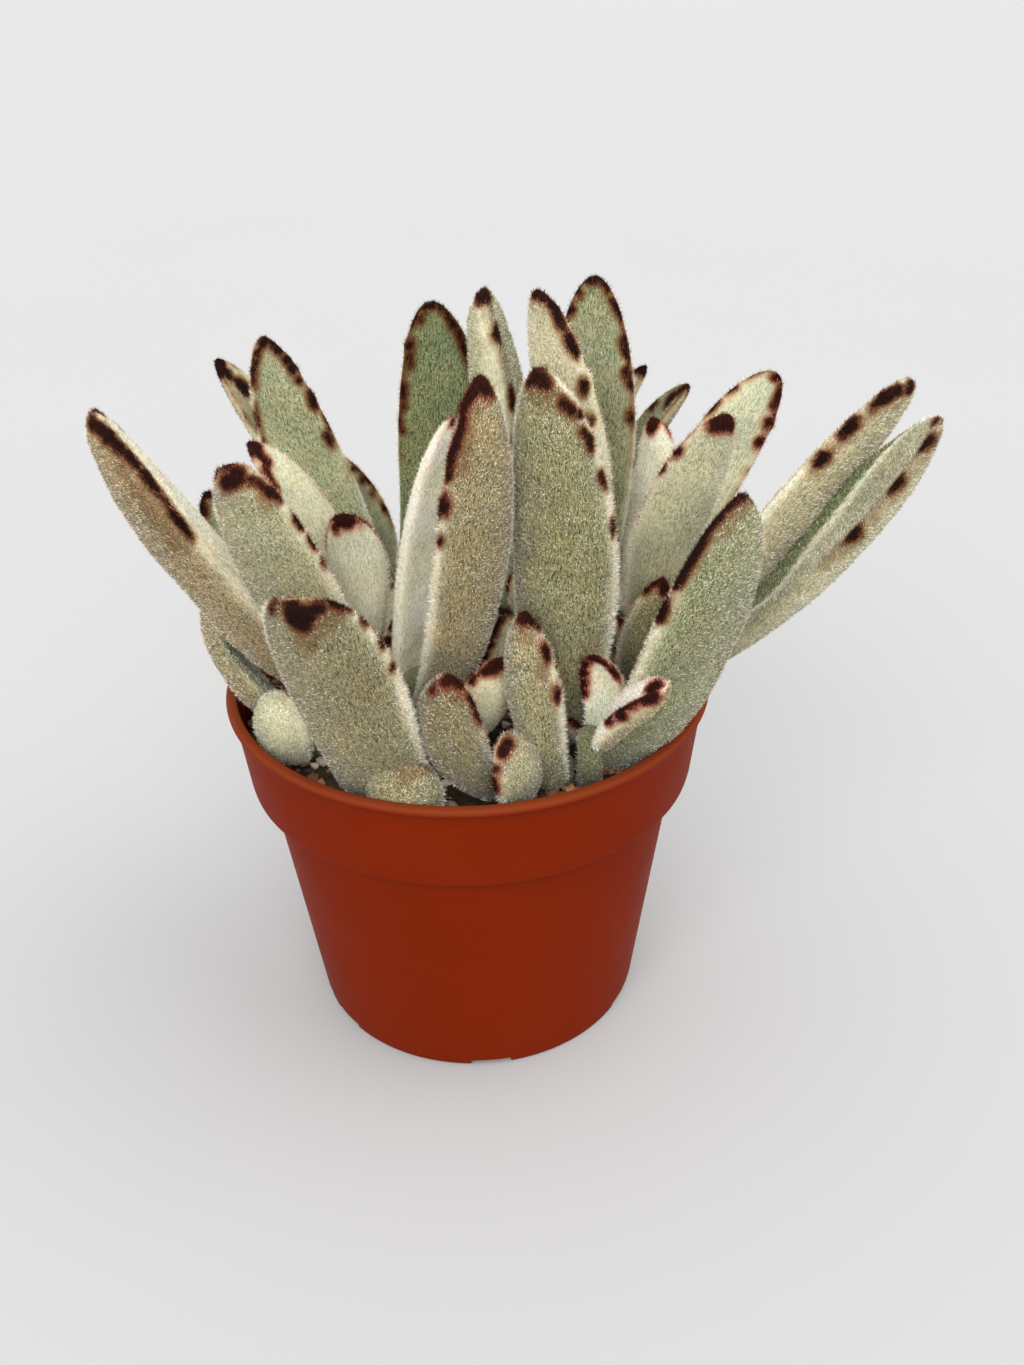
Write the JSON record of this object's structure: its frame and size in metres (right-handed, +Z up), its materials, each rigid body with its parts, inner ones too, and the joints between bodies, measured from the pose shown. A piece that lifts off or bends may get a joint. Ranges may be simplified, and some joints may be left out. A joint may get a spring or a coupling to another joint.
{
  "type": "panda plant in a plastic nursery pot",
  "caption": "Potted succulent shrub with thick, felted, paddle-shaped leaves spotted dark brown along their edges, in a round terracotta-coloured plastic pot with a collar.",
  "frame": {"origin": "centre of the flat pad under the pot, on the surface that the pot stands on", "axes": "+Z up along the pot's axis; -Y is the front of the plant; +X is its right as seen from the front"},
  "size_m": [0.1615, 0.1181, 0.164],
  "materials": {
    "pot": "satin",
    "compost": "matte",
    "stem": "matte",
    "leaf": "matte"
  },
  "bodies": {
    "root": {"pot": "pot", "compost": "compost", "stem_left": "stem", "stem_side": "stem", "stem_backleft": "stem", "stem_rearleft": "stem", "stem_middle": "stem", "stem_front": "stem", "stem_sprout": "stem", "stem_shoot": "stem", "stem_near": "stem", "stem_corner": "stem", "stem_offset": "stem", "stem_right": "stem", "stem_back": "stem", "stem_backright": "stem", "stem_rear": "stem", "stem_rearright": "stem", "leaf_left_1": "leaf", "leaf_left_2": "leaf", "leaf_left_3": "leaf", "leaf_left_4": "leaf", "leaf_left_5": "leaf", "leaf_left_6": "leaf", "leaf_left_7": "leaf", "leaf_front_1": "leaf", "leaf_front_2": "leaf", "leaf_front_3": "leaf", "leaf_middle_1": "leaf", "leaf_middle_2": "leaf", "leaf_middle_3": "leaf", "leaf_middle_4": "leaf", "leaf_shoot_1": "leaf", "leaf_shoot_2": "leaf", "leaf_near_1": "leaf", "leaf_corner_1": "leaf", "leaf_offset_1": "leaf", "leaf_offset_2": "leaf", "leaf_right_1": "leaf", "leaf_right_2": "leaf", "leaf_right_3": "leaf", "leaf_right_4": "leaf", "leaf_right_5": "leaf", "leaf_right_6": "leaf", "leaf_right_7": "leaf", "leaf_backleft_1": "leaf", "leaf_backleft_2": "leaf", "leaf_backleft_3": "leaf", "leaf_backleft_4": "leaf", "leaf_back_1": "leaf", "leaf_back_2": "leaf", "leaf_back_3": "leaf", "leaf_back_4": "leaf", "leaf_rear_1": "leaf", "leaf_rear_2": "leaf", "leaf_rear_3": "leaf", "leaf_rear_4": "leaf", "leaf_rearright_1": "leaf", "leaf_rearright_2": "leaf"}
  },
  "joints": []
}
